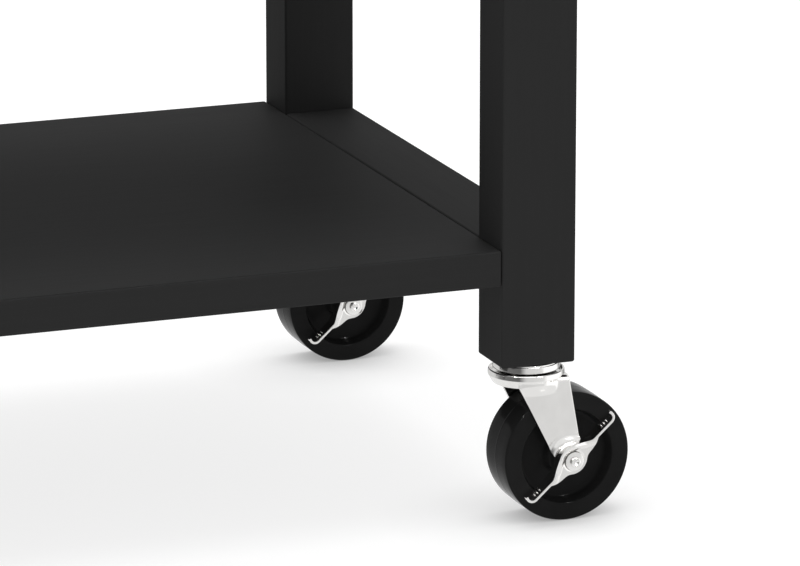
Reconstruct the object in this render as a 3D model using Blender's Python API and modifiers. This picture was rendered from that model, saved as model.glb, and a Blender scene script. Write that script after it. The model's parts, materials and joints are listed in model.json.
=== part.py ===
"""Three-tier bar cart in black lacquered wood, standing on four swivel casters with side brakes.

Frame: metres, +Z up, X along the cart's length, Y along its depth (front at -Y).
The origin lies on the floor under the middle of the cart.
"""

import math

import bmesh
import bpy
from mathutils import Matrix, Vector

# ---- Cart -----------------------------------------------------------------------------------------
LENGTH = 0.660  # over the legs, along X
DEPTH = 0.388  # over the legs, along Y
HEIGHT = 0.870  # floor to the top of the serving board
LEG_WIDTH = 0.044  # leg section along X
LEG_DEPTH = 0.036  # leg section along Y
BOARD = 0.0206  # thickness of every board
LOWER_SHELF_RISE = 0.068  # leg foot to the lower shelf's upper face
MIDDLE_SHELF_Z = 0.510  # floor to the middle shelf's upper face
TOP_OVERHANG = 0.012  # serving board beyond the legs
APRON_HEIGHT = 0.060
APRON_BOARD = 0.018
PUSH_BAR_RADIUS = 0.011
PUSH_BAR_DROP = 0.048  # lower edge of the apron to the bar's axis
TENON_RADIUS = 0.008
TENON_LENGTH = 0.014
EASE = 0.0012  # eased edges of legs and boards
JOINT_GAP = 0.0003  # between pieces that touch
RUNNING_GAP = 0.0003  # between pieces that turn on each other

# ---- Caster, in its own frame: x trails from the swivel axis, y along the axle, z up from the floor
TRAIL = 0.019
WHEEL_RADIUS = 0.0375
WHEEL_WIDTH = 0.030
WHEEL_SHOULDER = 0.0012
WHEEL_RIM = 0.0105
WHEEL_RECESS = 0.0080
WHEEL_RECESS_DRAFT = 0.0015
WHEEL_HUB_RADIUS = 0.0110
WHEEL_HUB_PROUD = 0.0003
SHEET = 0.0025  # fork sheet
FORK_SIDE_PLAY = 0.0010  # wheel face to the fork leg's inner face
FORK_BEND = 0.0045  # outer radius between the fork's bridge and its legs
FORK_FRONT = -0.0115  # leading edge of the bridge
FORK_BACK = 0.0190  # trailing edge of the bridge
FORK_EYE = 0.0076  # radius of the leg's end round the axle
TREAD_CLEARANCE = 0.008  # wheel's tread to the bridge's underside
CROWN_RADIUS = 0.0217
CROWN_RIM_WALL = 0.0015
CROWN_RIM_RISE = 0.0022
CROWN_SKIRT = 0.0030  # pressed wall under the bridge
CROWN_DRAFT = 0.0022  # how far that wall leans in
RACE_RADIUS = 0.0190
RACE_LIFT = 0.0015  # bridge to the race's lower lip
RACE_SHEET = 0.0018
RACE_LIP = 0.0022  # how far the cup's wall leans in towards its base
BALL_RADIUS = 0.0023
BALL_COUNT = 8
BALL_CIRCLE = 0.0135
BALL_PLAY = 0.0005
CAGE_RADIUS = 0.0009
STEM_RADIUS = 0.0050
STEM_RISE = 0.032  # leg foot to the stem's tip
STEM_HEAD_RADIUS = 0.0078
STEM_HEAD = 0.0024
INSERT_WALL = 0.0022
INSERT_LENGTH = 0.025
AXLE_RADIUS = 0.0030
AXLE_HEAD_RADIUS = 0.0058
AXLE_HEAD = 0.0026
AXLE_PROUD = 0.0030  # riveted end beyond the brake lever's plate
SLEEVE_WALL = 0.0013
LEG_BOSS_RADIUS = 0.0135  # pressed boss round the axle on the fork's braked leg
LEG_BOSS_TIP_RADIUS = 0.0095
LEG_BOSS_RISE = 0.0022
CAM_RADIUS = 0.0075
CAM = 0.0022

# ---- Brake lever: s runs along the lever, n across it, y outwards from the wheel's middle
LEVER_SHEET = 0.0020
LEVER_FLANGE_SHEET = 0.0016
LEVER_REACH = 0.0305  # axle to the start of a pedal's turned-up toe
LEVER_TOE = 0.0042  # height of the toe
LEVER_ARCH = 0.0095  # flange height over the axle
LEVER_ARCH_HALF = 0.0165  # half length of the arch
LEVER_FOOT = 0.0006  # flange height along the pedals
LEVER_LOBE = 0.0075  # radius of the plate below the axle
LEVER_TAIL = 0.0190  # half length of the plate
LEVER_LIP = 0.0026  # flange proud of the plate's outer face over the axle
LEVER_EDGE = 0.0006  # flange proud of the plate's outer face at the pedals
PEDAL_LENGTH = 0.0195
PEDAL_BACK = 0.0014  # pedal's inner edge to the wheel's face
ARCH_BACK = 0.0006  # arch's inner edge to the fork's boss
LEVER_ANGLE = math.radians(42)  # released: lever's slope at rest

# ---- Roundness ------------------------------------------------------------------------------------
WHEEL_STEPS = 28
RACE_STEPS = 20
PIN_STEPS = 14

# Places worked out from the sizes above.
BRIDGE_TOP = 2 * WHEEL_RADIUS + TREAD_CLEARANCE + SHEET
CASTER_HEIGHT = BRIDGE_TOP + 2 * BALL_RADIUS + BALL_PLAY + RACE_SHEET + 2 * JOINT_GAP
BOARD_TOP_Z = HEIGHT
LEG_TOP_Z = HEIGHT - BOARD - JOINT_GAP
LOWER_SHELF_Z = CASTER_HEIGHT + LOWER_SHELF_RISE
FORK_INNER = WHEEL_WIDTH / 2 + FORK_SIDE_PLAY
FORK_OUTER = FORK_INNER + SHEET
CAM_INNER = FORK_OUTER + LEG_BOSS_RISE + JOINT_GAP
CAM_OUTER = CAM_INNER + CAM
PLATE_INNER = CAM_OUTER + RUNNING_GAP
PLATE_OUTER = PLATE_INNER + LEVER_SHEET
AXLE_TIP = PLATE_OUTER + AXLE_PROUD
SLEEVE_RADIUS = AXLE_RADIUS + RUNNING_GAP + SLEEVE_WALL
STEM_HOLE = STEM_RADIUS + RUNNING_GAP

BLACK = ("black_lacquer", (0.022, 0.022, 0.023), 0.42, 0.0)
ZINC = ("zinc_plated_steel", (0.62, 0.63, 0.65), 0.28, 1.0)
POLYMER = ("black_hard_polymer", (0.010, 0.010, 0.011), 0.34, 0.0)


# ---- Scene and materials --------------------------------------------------------------------------
def clear_scene():
    for old in list(bpy.data.objects):
        bpy.data.objects.remove(old, do_unlink=True)


def new_collection(name):
    made = bpy.data.collections.new(name)
    bpy.context.scene.collection.children.link(made)
    return made


def material_of(finish):
    name, colour, roughness, metallic = finish
    made = bpy.data.materials.get(name)
    if made:
        return made
    made = bpy.data.materials.new(name)
    made.use_nodes = True
    shader = made.node_tree.nodes["Principled BSDF"]
    shader.inputs["Base Color"].default_value = (*colour, 1.0)
    shader.inputs["Roughness"].default_value = roughness
    shader.inputs["Metallic"].default_value = metallic
    return made


def add_object(name, data, finish, collection):
    made = bpy.data.objects.new(name, data)
    collection.objects.link(made)
    if finish:
        data.materials.append(material_of(finish))
    return made


def add_cutter(name, data):
    made = add_object(name, data, None, cutters)
    made.hide_render = True
    made.display_type = "WIRE"
    return made


# ---- Shapes ---------------------------------------------------------------------------------------
def mesh_from(bm, name):
    data = bpy.data.meshes.new(name)
    bm.to_mesh(data)
    bm.free()
    return data


def box_mesh(name, low, high):
    """A box between two corners."""
    bm = bmesh.new()
    bmesh.ops.create_cube(bm, size=1.0)
    low, high = Vector(low), Vector(high)
    size = high - low
    place = Matrix.Translation((low + high) / 2) @ Matrix.Diagonal((*size, 1.0))
    bmesh.ops.transform(bm, matrix=place, verts=bm.verts)
    return mesh_from(bm, name)


def rod_mesh(name, radius, low, high, steps, tip_radius=None):
    """A round rod or cone along z from low to high."""
    bm = bmesh.new()
    bmesh.ops.create_cone(
        bm,
        cap_ends=True,
        segments=steps,
        radius1=radius,
        radius2=radius if tip_radius is None else tip_radius,
        depth=high - low,
        matrix=Matrix.Translation((0, 0, (low + high) / 2)),
    )
    return mesh_from(bm, name)


def turned_mesh(name, profile, steps, ring=True):
    """A turned solid about z. The profile of (radius, height) points runs down the outer side first.
    A ring's profile closes on itself; otherwise both its ends lie on the axis."""
    bm = bmesh.new()
    points = [bm.verts.new((radius, 0.0, height)) for radius, height in profile]
    for first, second in zip(points, points[1:]):
        bm.edges.new((first, second))
    if ring:
        bm.edges.new((points[-1], points[0]))
    data = mesh_from(bm, name + "_profile")
    guide = bpy.data.objects.new(name + "_guide", data)
    cutters.objects.link(guide)
    screw = guide.modifiers.new("Turn", "SCREW")
    screw.axis = "Z"
    screw.angle = 2 * math.pi
    screw.steps = steps
    screw.render_steps = steps
    screw.use_merge_vertices = True
    screw.merge_threshold = 0.00001
    return baked(guide, name)


def outline_mesh(name, points, thickness):
    """A flat outline in the xz plane, made thickness deep along y and centred on y = 0."""
    curve = bpy.data.curves.new(name + "_outline", "CURVE")
    curve.dimensions = "2D"
    curve.fill_mode = "BOTH"
    curve.extrude = thickness / 2
    spline = curve.splines.new("POLY")
    spline.points.add(len(points) - 1)
    for point, (x, z) in zip(spline.points, points):
        point.co = (x, z, 0.0, 1.0)
    spline.use_cyclic_u = True
    guide = bpy.data.objects.new(name + "_guide", curve)
    cutters.objects.link(guide)
    data = baked(guide, name)
    data.transform(Matrix.Rotation(math.pi / 2, 4, "X"))
    return data


def baked(guide, name):
    """The guide's evaluated shape as a welded mesh; the guide is removed."""
    graph = bpy.context.evaluated_depsgraph_get()
    data = bpy.data.meshes.new_from_object(guide.evaluated_get(graph))
    bpy.data.objects.remove(guide, do_unlink=True)
    bm = bmesh.new()
    bm.from_mesh(data)
    bmesh.ops.remove_doubles(bm, verts=bm.verts, dist=0.000005)
    bm.to_mesh(data)
    bm.free()
    data.name = name
    return data


def arc(centre, radius, start, end, count):
    """Points on an arc, angles in radians, both ends included."""
    angles = [start + (end - start) * i / (count - 1) for i in range(count)]
    return [(centre[0] + radius * math.cos(a), centre[1] + radius * math.sin(a)) for a in angles]


def rounded_box(points_low, points_high, radius, name, finish):
    """A board or post with eased edges."""
    made = add_object(name, box_mesh(name, points_low, points_high), finish, cart)
    bevel = made.modifiers.new("Eased edges", "BEVEL")
    bevel.width = radius
    bevel.segments = 1
    bevel.limit_method = "ANGLE"
    return made


def boolean(target, cutter_data, operation):
    """Cuts, joins or keeps what target shares with a closed mesh, and applies it."""
    tool = add_cutter(target.name + "_" + operation.lower(), cutter_data)
    modifier = target.modifiers.new("Shape", "BOOLEAN")
    modifier.operation = operation
    modifier.object = tool
    graph = bpy.context.evaluated_depsgraph_get()
    data = bpy.data.meshes.new_from_object(target.evaluated_get(graph))
    target.modifiers.clear()
    target.data = data
    bpy.data.objects.remove(tool, do_unlink=True)
    return target


def moved(data, matrix):
    data.transform(matrix)
    return data


def smooth(data, angle=35):
    data.shade_smooth()
    data.set_sharp_from_angle(angle=math.radians(angle))
    return data


ALONG_AXLE = Matrix.Rotation(math.pi / 2, 4, "X")  # z of a turned shape becomes -y, the brake side


# ---- Wooden frame ---------------------------------------------------------------------------------
def leg_centre(side, end):
    """Centre of a leg in plan. side is -1 left or 1 right, end is -1 front or 1 rear."""
    return side * (LENGTH - LEG_WIDTH) / 2, end * (DEPTH - LEG_DEPTH) / 2


def make_leg(name, side, end):
    x, y = leg_centre(side, end)
    low = (x - LEG_WIDTH / 2, y - LEG_DEPTH / 2, CASTER_HEIGHT)
    high = (x + LEG_WIDTH / 2, y + LEG_DEPTH / 2, LEG_TOP_Z)
    leg = rounded_box(low, high, EASE, name, BLACK)
    bore = STEM_HOLE + INSERT_WALL + JOINT_GAP
    depth = max(STEM_RISE, INSERT_LENGTH) + 0.004
    socket = rod_mesh("socket", bore, CASTER_HEIGHT - 0.005, CASTER_HEIGHT + depth, PIN_STEPS)
    boolean(leg, moved(socket, Matrix.Translation((x, y, 0))), "DIFFERENCE")
    mortise = rod_mesh("mortise", TENON_RADIUS + JOINT_GAP, -0.004, TENON_LENGTH + JOINT_GAP, PIN_STEPS)
    turn = Matrix.Rotation(-end * math.pi / 2, 4, "X")
    face = Matrix.Translation((x, y - end * LEG_DEPTH / 2, push_bar_z()))
    boolean(leg, moved(mortise, face @ turn), "DIFFERENCE")
    return leg


def push_bar_z():
    return LEG_TOP_Z - APRON_HEIGHT - PUSH_BAR_DROP


def make_push_bar(name, side):
    """A turned bar between the two legs of one end, with a tenon at each tip."""
    x = leg_centre(side, 1)[0]
    half = DEPTH / 2 - LEG_DEPTH - JOINT_GAP
    tip = half + TENON_LENGTH
    profile = [(0, tip), (TENON_RADIUS, tip), (TENON_RADIUS, half), (PUSH_BAR_RADIUS, half)]
    profile += [(r, -z) for r, z in reversed(profile)]
    data = smooth(turned_mesh(name, profile, PIN_STEPS, ring=False))
    bar = add_object(name, data, BLACK, cart)
    bar.rotation_euler = (math.pi / 2, 0, 0)
    bar.location = (x, 0, push_bar_z())
    return bar


def make_shelf(level, top_z):
    """A panel as deep as the cart between the legs, and a rail as wide as a leg at each end."""
    inner = LENGTH / 2 - LEG_WIDTH - JOINT_GAP
    low_z = top_z - BOARD
    rounded_box((-inner, -DEPTH / 2, low_z), (inner, DEPTH / 2, top_z), EASE, level + "_shelf_panel", BLACK)
    rail_half = DEPTH / 2 - LEG_DEPTH - JOINT_GAP
    for side, word in ((-1, "left"), (1, "right")):
        near, far = side * (inner + JOINT_GAP), side * LENGTH / 2
        low = (min(near, far), -rail_half, low_z)
        high = (max(near, far), rail_half, top_z)
        rounded_box(low, high, EASE, f"{level}_shelf_{word}_rail", BLACK)


def make_top():
    """The serving board and the four aprons under it."""
    x, y = LENGTH / 2 + TOP_OVERHANG, DEPTH / 2 + TOP_OVERHANG
    rounded_box((-x, -y, HEIGHT - BOARD), (x, y, BOARD_TOP_Z), EASE, "serving_board", BLACK)
    high_z, low_z = LEG_TOP_Z, LEG_TOP_Z - APRON_HEIGHT
    half = LENGTH / 2 - LEG_WIDTH - JOINT_GAP
    for end, word in ((-1, "front"), (1, "rear")):
        middle = end * (DEPTH / 2 - LEG_DEPTH / 2)
        low = (-half, middle - APRON_BOARD / 2, low_z)
        high = (half, middle + APRON_BOARD / 2, high_z)
        rounded_box(low, high, EASE, word + "_apron", BLACK)
    half = DEPTH / 2 - LEG_DEPTH - JOINT_GAP
    for side, word in ((-1, "left"), (1, "right")):
        middle = side * (LENGTH / 2 - LEG_WIDTH / 2)
        low = (middle - APRON_BOARD / 2, -half, low_z)
        high = (middle + APRON_BOARD / 2, half, high_z)
        rounded_box(low, high, EASE, word + "_apron", BLACK)


# ---- Caster ---------------------------------------------------------------------------------------
def make_insert():
    """Threaded insert pressed into the leg's foot."""
    low, high = CASTER_HEIGHT + JOINT_GAP, CASTER_HEIGHT + INSERT_LENGTH
    outer, inner = STEM_HOLE + INSERT_WALL, STEM_HOLE
    profile = [(outer, high), (outer, low), (inner, low), (inner, high)]
    return smooth(turned_mesh("insert", profile, PIN_STEPS))


def make_stem():
    """Stem that carries the caster, riveted over under the fork's bridge."""
    head_top = BRIDGE_TOP - SHEET - JOINT_GAP
    head_low = head_top - STEM_HEAD
    tip = CASTER_HEIGHT + STEM_RISE
    chamfer = STEM_RADIUS * 0.2
    profile = [
        (0, tip),
        (STEM_RADIUS - chamfer, tip),
        (STEM_RADIUS, tip - chamfer),
        (STEM_RADIUS, head_top),
        (STEM_HEAD_RADIUS, head_top),
        (STEM_HEAD_RADIUS, head_low + STEM_HEAD / 2),
        (STEM_HEAD_RADIUS * 0.7, head_low),
        (0, head_low),
    ]
    return smooth(turned_mesh("stem", profile, PIN_STEPS, ring=False))


def make_upper_race():
    """Pressed cup between the leg's foot and the balls, open below."""
    top = CASTER_HEIGHT - JOINT_GAP
    lip = BRIDGE_TOP + RACE_LIFT
    wall = RACE_RADIUS
    base = RACE_RADIUS - RACE_LIP
    profile = [
        (base, top),
        (wall, lip + RACE_SHEET),
        (wall, lip),
        (wall - RACE_SHEET, lip),
        (base - RACE_SHEET, top - RACE_SHEET),
        (STEM_HOLE, top - RACE_SHEET),
        (STEM_HOLE, top),
    ]
    return smooth(turned_mesh("upper_race", profile, RACE_STEPS))


def make_ball_cage():
    """Ring of bearing balls held by a wire cage, between the cup and the fork."""
    middle = BRIDGE_TOP + JOINT_GAP + BALL_RADIUS
    ring = arc((BALL_CIRCLE, middle), CAGE_RADIUS, math.pi / 2, -1.5 * math.pi, 5)[:-1]
    cage = add_object("cage", turned_mesh("cage", ring, BALL_COUNT * 2), ZINC, cart)
    for number in range(BALL_COUNT):
        angle = 2 * math.pi * (number + 0.5) / BALL_COUNT
        bm = bmesh.new()
        bmesh.ops.create_uvsphere(bm, u_segments=6, v_segments=3, radius=BALL_RADIUS)
        ball = mesh_from(bm, "ball")
        place = (BALL_CIRCLE * math.cos(angle), BALL_CIRCLE * math.sin(angle), middle)
        boolean(cage, moved(ball, Matrix.Translation(place)), "UNION")
    data = cage.data
    bpy.data.objects.remove(cage, do_unlink=True)
    return smooth(data)


def fork_side_outline():
    """One fork leg seen along the axle: wide at the bridge, round at the axle."""
    axle = Vector((TRAIL, WHEEL_RADIUS))
    top = BRIDGE_TOP + 0.001
    corners = []
    for x, turn in ((FORK_FRONT, 1), (FORK_BACK, -1)):
        shoulder = Vector((x, BRIDGE_TOP - FORK_BEND))
        away = shoulder - axle
        touch = math.atan2(away.y, away.x) + turn * math.acos(FORK_EYE / away.length)
        corners.append((shoulder, touch))
    (front, front_touch), (back, back_touch) = corners
    eye = arc(axle, FORK_EYE, front_touch, back_touch + 2 * math.pi, 11)
    return [(FORK_BACK, top), (FORK_FRONT, top), tuple(front), *eye, tuple(back)]


def fork_bridge_outline():
    """The fork seen along its travel: an upturned U with rounded shoulders, in (y, z)."""
    low = WHEEL_RADIUS - FORK_EYE - 0.002
    outer, inner, bend = FORK_OUTER, FORK_INNER, FORK_BEND
    inner_bend = max(bend - SHEET, 0.0005)
    under = BRIDGE_TOP - SHEET
    right = arc((outer - bend, BRIDGE_TOP - bend), bend, math.pi / 2, 0, 4) + [(outer, low), (inner, low)]
    right += arc((inner - inner_bend, under - inner_bend), inner_bend, 0, math.pi / 2, 4)
    left = [(-y, z) for y, z in reversed(right)]
    return right + left


def make_fork():
    """Pressed fork: a U of sheet trimmed to the legs' outline, with the crown's raised rim on top."""
    bridge = outline_mesh("fork", fork_bridge_outline(), 4 * CROWN_RADIUS)
    fork = add_object("fork", moved(bridge, Matrix.Rotation(math.pi / 2, 4, "Z")), ZINC, cart)
    boolean(fork, outline_mesh("side", fork_side_outline(), 4 * FORK_OUTER), "INTERSECT")
    rim_top = BRIDGE_TOP + CROWN_RIM_RISE
    inner = CROWN_RADIUS - CROWN_RIM_WALL
    under = BRIDGE_TOP - SHEET * 0.9
    skirt_inner = FORK_OUTER - FORK_BEND - 0.0006  # inside the start of the bridge's bends
    crown = turned_mesh(
        "crown",
        [
            (0, BRIDGE_TOP - 0.0002),
            (inner, BRIDGE_TOP - 0.0002),
            (inner + 0.0004, rim_top),
            (CROWN_RADIUS - 0.0004, rim_top - 0.0004),
            (CROWN_RADIUS, under + 0.0010),
            (CROWN_RADIUS - CROWN_DRAFT, under - CROWN_SKIRT),
            (skirt_inner, under - CROWN_SKIRT),
            (skirt_inner, under),
            (0, under),
        ],
        RACE_STEPS,
        ring=False,
    )
    boolean(fork, crown, "UNION")
    boss = rod_mesh("boss", LEG_BOSS_RADIUS, 0, LEG_BOSS_RISE, RACE_STEPS, LEG_BOSS_TIP_RADIUS)
    face = Matrix.Translation((0, -FORK_OUTER + JOINT_GAP, 0))
    boss = moved(boss, face @ Matrix.Translation(axle_centre()) @ ALONG_AXLE)
    leg_boss = add_object("leg_boss", boss, None, cutters)
    boolean(leg_boss, outline_mesh("side", fork_side_outline(), 4 * FORK_OUTER), "INTERSECT")
    boss = leg_boss.data
    bpy.data.objects.remove(leg_boss, do_unlink=True)
    boolean(fork, boss, "UNION")
    boolean(fork, rod_mesh("stem_hole", STEM_HOLE, WHEEL_RADIUS, CASTER_HEIGHT, PIN_STEPS), "DIFFERENCE")
    axle_hole = rod_mesh("axle_hole", AXLE_RADIUS + RUNNING_GAP, -2 * FORK_OUTER, 2 * FORK_OUTER, PIN_STEPS)
    boolean(fork, moved(axle_hole, Matrix.Translation(axle_centre()) @ ALONG_AXLE), "DIFFERENCE")
    data = fork.data
    bpy.data.objects.remove(fork, do_unlink=True)
    return smooth(data)


def axle_centre():
    return Vector((TRAIL, 0, WHEEL_RADIUS))


def make_wheel():
    """One-piece moulded wheel: square-shouldered tread, dished faces, plain hub."""
    half = WHEEL_WIDTH / 2
    rim = WHEEL_RADIUS - WHEEL_RIM
    web = half - WHEEL_RECESS
    hub = half + WHEEL_HUB_PROUD
    bore = SLEEVE_RADIUS + RUNNING_GAP
    side = [
        (bore, hub),
        (WHEEL_HUB_RADIUS, hub),
        (WHEEL_HUB_RADIUS, web),
        (rim - WHEEL_RECESS_DRAFT, web),
        (rim, half),
        (WHEEL_RADIUS - WHEEL_SHOULDER, half),
        (WHEEL_RADIUS, half - WHEEL_SHOULDER),
    ]
    profile = side + [(r, -z) for r, z in reversed(side)]
    return smooth(turned_mesh("wheel", profile, WHEEL_STEPS))


def make_sleeve():
    """Steel tube that the wheel runs on, clamped between the fork's legs."""
    half = FORK_INNER - JOINT_GAP
    outer, inner = SLEEVE_RADIUS, AXLE_RADIUS + RUNNING_GAP
    profile = [(outer, half), (outer, -half), (inner, -half), (inner, half)]
    return smooth(turned_mesh("sleeve", profile, PIN_STEPS))


def make_axle():
    """Rivet through fork, sleeve, cam and lever: head behind, riveted end in front."""
    tip = AXLE_TIP
    head_face = -FORK_OUTER - JOINT_GAP
    profile = [
        (0, tip),
        (AXLE_RADIUS * 0.72, tip),
        (AXLE_RADIUS, tip - 0.0008),
        (AXLE_RADIUS, head_face),
        (AXLE_HEAD_RADIUS, head_face),
        (AXLE_HEAD_RADIUS, head_face - AXLE_HEAD * 0.4),
        (AXLE_HEAD_RADIUS * 0.62, head_face - AXLE_HEAD),
        (0, head_face - AXLE_HEAD),
    ]
    return smooth(turned_mesh("axle", profile, PIN_STEPS, ring=False))


def make_cam():
    """Washer with a domed face on the fork's leg, which the lever's plate rides up on."""
    inner = AXLE_RADIUS + RUNNING_GAP
    profile = [
        (CAM_RADIUS * 0.62, CAM_OUTER),
        (CAM_RADIUS, CAM_INNER + CAM * 0.35),
        (CAM_RADIUS, CAM_INNER),
        (inner, CAM_INNER),
        (inner, CAM_OUTER),
    ]
    return smooth(turned_mesh("cam", profile, PIN_STEPS))


def flange_height(s):
    """Height of the lever's flange over the line through the axle: a smooth arch, then level pedals."""
    share = min(abs(s) / LEVER_ARCH_HALF, 1.0)
    bell = (1 + math.cos(math.pi * share)) / 2
    return LEVER_FOOT + (LEVER_ARCH - LEVER_FOOT) * bell**0.75


def flange_line():
    """Centre line of the flange from toe to toe, in (s, n)."""
    steps = 11
    run = [LEVER_REACH * i / steps for i in range(-steps, steps + 1)]
    line = [(s, flange_height(s)) for s in run]
    bend = LEVER_TOE * 0.7
    tip = arc((LEVER_REACH, LEVER_FOOT + bend), bend, -math.pi / 2, math.radians(-5), 4)[1:]
    tip.append((tip[-1][0] + 0.0001, LEVER_FOOT + LEVER_TOE))
    return [(-s, n) for s, n in reversed(tip)] + line + tip


def thickened(line, thickness):
    """Closed outline round an open line."""
    above, below = [], []
    for i, point in enumerate(line):
        before, after = line[max(i - 1, 0)], line[min(i + 1, len(line) - 1)]
        run = Vector((after[0] - before[0], after[1] - before[1])).normalized()
        side = Vector((-run.y, run.x)) * thickness / 2
        above.append((point[0] + side.x, point[1] + side.y))
        below.append((point[0] - side.x, point[1] - side.y))
    return above + below[::-1]


def plate_outline():
    """The lever's plate: a round lobe under the axle, tapering to both sides under the flange."""
    steps = 8
    top = [(LEVER_TAIL * i / steps, flange_height(LEVER_TAIL * i / steps)) for i in range(-steps, steps + 1)]
    half_angle = math.radians(58)
    lobe = arc((0, 0), LEVER_LOBE, -math.pi / 2 + half_angle, -math.pi / 2 - half_angle, 9)
    notch = (LEVER_LOBE * 1.15, -LEVER_LOBE * 0.50)
    right = [(LEVER_TAIL, LEVER_FOOT - LEVER_FLANGE_SHEET), notch]
    left = [(-s, n) for s, n in reversed(right)]
    return top + right + lobe + left


def flange_plan():
    """The flange seen from above, in (s, y): pedals that reach back beside the fork, a lip over the axle."""
    toe = LEVER_REACH + LEVER_TOE
    pedal = LEVER_REACH - PEDAL_LENGTH
    edge = PLATE_OUTER + LEVER_EDGE
    back = WHEEL_WIDTH / 2 + PEDAL_BACK
    arch_back = FORK_OUTER + LEG_BOSS_RISE + ARCH_BACK
    right = [
        (pedal * 0.45, PLATE_OUTER + LEVER_LIP),
        (pedal * 1.05, edge),
        (toe, edge),
        (toe, back),
        (pedal + 0.0025, back),
        (pedal, arch_back),
    ]
    left = [(-s, y) for s, y in reversed(right)]
    return right + left


def make_lever():
    """Pressed brake lever: a plate on the axle, and a flange with a pedal at each end."""
    plate = outline_mesh("lever", plate_outline(), LEVER_SHEET)
    plate = moved(plate, Matrix.Translation((0, -(PLATE_INNER + PLATE_OUTER) / 2, 0)))
    lever = add_object("lever", plate, ZINC, cart)
    flange_data = outline_mesh("flange", thickened(flange_line(), LEVER_FLANGE_SHEET), 4 * AXLE_TIP)
    flange = add_object("flange", flange_data, None, cutters)
    plan = outline_mesh("plan", flange_plan(), 8 * LEVER_ARCH)
    # The plan's z is its outward reach: turned so that outwards is -y.
    boolean(flange, moved(plan, Matrix.Rotation(math.pi / 2, 4, "X")), "INTERSECT")
    flange_data = flange.data
    bpy.data.objects.remove(flange, do_unlink=True)
    boolean(lever, flange_data, "UNION")
    hole = rod_mesh("hole", AXLE_RADIUS + RUNNING_GAP, 0.0, 2 * AXLE_TIP, PIN_STEPS)
    boolean(lever, moved(hole, ALONG_AXLE), "DIFFERENCE")
    data = lever.data
    bpy.data.objects.remove(lever, do_unlink=True)
    data.transform(Matrix.Rotation(-LEVER_ANGLE, 4, "Y"))
    return smooth(data, 25)


def make_casters():
    """Four like casters. The left pair trails the other way, as when the cart is set down between pushes."""
    standing = {
        "leg_insert": make_insert(),
        "stem": make_stem(),
        "upper_race": make_upper_race(),
    }
    swivelling = {"ball_cage": make_ball_cage(), "fork": make_fork()}
    on_axle = {
        "wheel": make_wheel(),
        "hub_sleeve": make_sleeve(),
        "axle_rivet": make_axle(),
        "brake_cam": make_cam(),
    }
    lever = make_lever()
    for end, end_word in ((-1, "front"), (1, "rear")):
        for side, side_word in ((-1, "left"), (1, "right")):
            corner = f"{end_word}_{side_word}"
            x, y = leg_centre(side, end)
            turn = 0 if side > 0 else math.pi
            swivel = bpy.data.objects.new(corner + "_swivel_axis", None)
            cart.objects.link(swivel)
            swivel.location = (x, y, 0)
            swivel.rotation_euler = (0, 0, turn)
            axle = bpy.data.objects.new(corner + "_axle_axis", None)
            cart.objects.link(axle)
            axle.parent = swivel
            axle.location = axle_centre()
            for word, data in standing.items():
                add_object(f"{corner}_{word}", painted(data, ZINC), None, cart).location = (x, y, 0)
            for word, data in swivelling.items():
                add_object(f"{corner}_{word}", painted(data, ZINC), None, cart).parent = swivel
            for word, data in on_axle.items():
                finish = POLYMER if word == "wheel" else ZINC
                piece = add_object(f"{corner}_{word}", painted(data, finish), None, cart)
                piece.parent = axle
                piece.rotation_euler = (math.pi / 2, 0, 0)
            add_object(corner + "_brake_lever", painted(lever, ZINC), None, cart).parent = axle


def painted(data, finish):
    if not data.materials:
        data.materials.append(material_of(finish))
    return data


clear_scene()
cart = new_collection("bar_cart")
cutters = new_collection("cutters")
for leg_end, leg_end_word in ((-1, "front"), (1, "rear")):
    for leg_side, leg_side_word in ((-1, "left"), (1, "right")):
        make_leg(f"{leg_end_word}_{leg_side_word}_leg", leg_side, leg_end)
make_shelf("lower", LOWER_SHELF_Z)
make_shelf("middle", MIDDLE_SHELF_Z)
make_top()
make_push_bar("left_push_bar", -1)
make_push_bar("right_push_bar", 1)
make_casters()
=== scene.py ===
"""Bar cart on wheels: the finished look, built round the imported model.

Run it as a script.
"""

import json
import math

import bmesh
import bpy
from mathutils import Matrix, Vector


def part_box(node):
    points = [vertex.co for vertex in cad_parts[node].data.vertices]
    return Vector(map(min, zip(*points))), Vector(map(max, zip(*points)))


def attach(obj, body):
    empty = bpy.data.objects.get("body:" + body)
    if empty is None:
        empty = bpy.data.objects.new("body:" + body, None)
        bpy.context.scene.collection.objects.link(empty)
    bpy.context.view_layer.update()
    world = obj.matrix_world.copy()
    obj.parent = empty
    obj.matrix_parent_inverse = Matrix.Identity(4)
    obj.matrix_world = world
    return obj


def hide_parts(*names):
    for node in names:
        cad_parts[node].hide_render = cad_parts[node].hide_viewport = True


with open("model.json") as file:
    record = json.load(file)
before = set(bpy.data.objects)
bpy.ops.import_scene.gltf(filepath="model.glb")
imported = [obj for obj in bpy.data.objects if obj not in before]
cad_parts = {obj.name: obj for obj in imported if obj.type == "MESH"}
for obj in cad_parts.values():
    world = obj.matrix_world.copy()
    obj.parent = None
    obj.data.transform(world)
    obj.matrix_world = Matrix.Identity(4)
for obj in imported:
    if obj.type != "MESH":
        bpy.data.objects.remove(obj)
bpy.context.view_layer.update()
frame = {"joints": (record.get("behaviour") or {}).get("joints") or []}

bl_info = {
    "name": "Bar Cart",
    "version": (1, 0, 0),
    "blender": (4, 5, 0),
    "location": "View3D > Sidebar > Bar Cart",
    "description": "Builds a lacquered bar cart on braked swivel casters",
    "category": "Object",
}

ROOT = "cart_frame"
CORNERS = [(end, side) for end in ("front", "rear") for side in ("left", "right")]
ALONG_AXLE = Matrix.Rotation(math.pi / 2, 4, "X")  # z of a turned shape becomes -y, the brake side

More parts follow.
